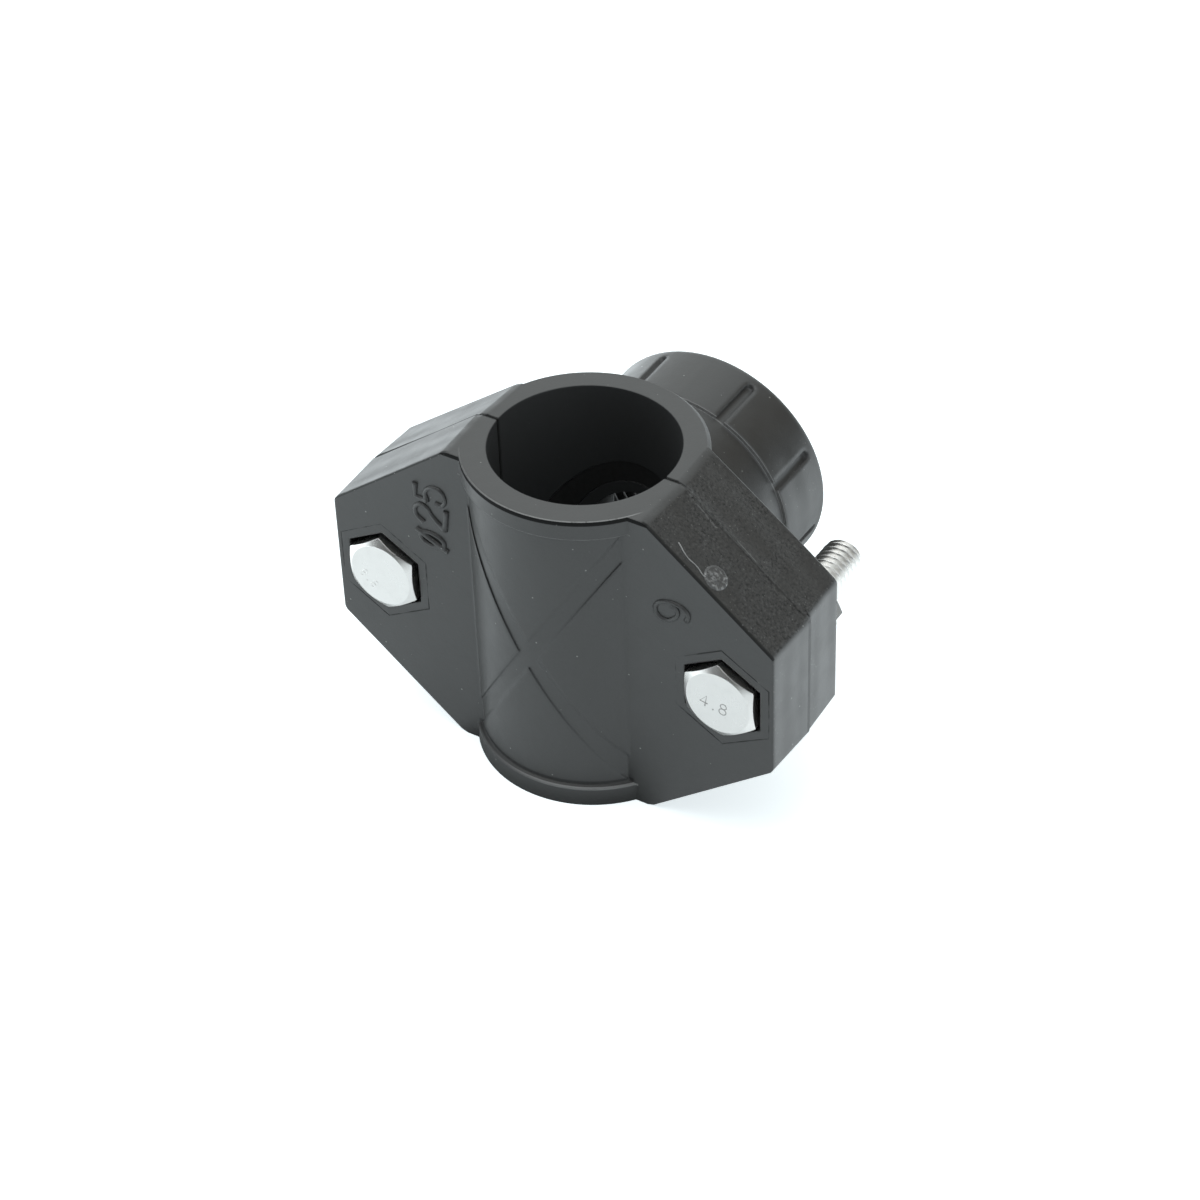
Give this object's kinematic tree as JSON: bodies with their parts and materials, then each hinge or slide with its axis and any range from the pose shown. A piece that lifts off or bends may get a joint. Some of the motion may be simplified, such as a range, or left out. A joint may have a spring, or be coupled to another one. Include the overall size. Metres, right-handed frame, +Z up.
{
  "type": "tapping saddle",
  "caption": "Split black plastic pipe clamp with bolted ears round a pipe bore and a side outlet with an internal thread, for tapping a branch off a pipe.",
  "frame": {"origin": "on the pipe bore's axis, in the saddle's lower end face, on which it stands", "axes": "+Z up along the pipe bore, +Y from the pipe bore out through the outlet, +X along the ears"},
  "size_m": [0.0668, 0.0487, 0.0476],
  "materials": {
    "black_plastic": "moulded black plastic, fine satin grain",
    "rubber": "smooth black rubber",
    "zinc_steel": "bright zinc plating"
  },
  "bodies": {
    "saddle": {"branch_half": "black_plastic", "seal_ring": "rubber"},
    "clamp": {"clamp_half": "black_plastic", "bolt_left": "zinc_steel", "bolt_right": "zinc_steel"},
    "left_nut": {"nut_left": "zinc_steel"},
    "right_nut": {"nut_right": "zinc_steel"}
  },
  "joints": [
    {"name": "nut_left_turn", "type": "hinge", "parent": "saddle", "child": "left_nut", "pos_m": [-0.02585, 0.00705, 0.02355], "axis": [0, 1, 0], "range_deg": [0, 3780]},
    {"name": "nut_right_turn", "type": "hinge", "parent": "saddle", "child": "right_nut", "pos_m": [0.02565, 0.00705, 0.02355], "axis": [0, 1, 0], "range_deg": [0, 3780]},
    {"name": "clamp_travel", "type": "slide", "parent": "saddle", "child": "clamp", "axis": [0, -1, 0], "range_m": [0, 0.0105]}
  ],
  "couplings": [
    {"joint": "nut_left_turn", "follows": "clamp_travel", "rad_per_m": 6283.2},
    {"joint": "nut_right_turn", "follows": "clamp_travel", "rad_per_m": 6283.2}
  ]
}
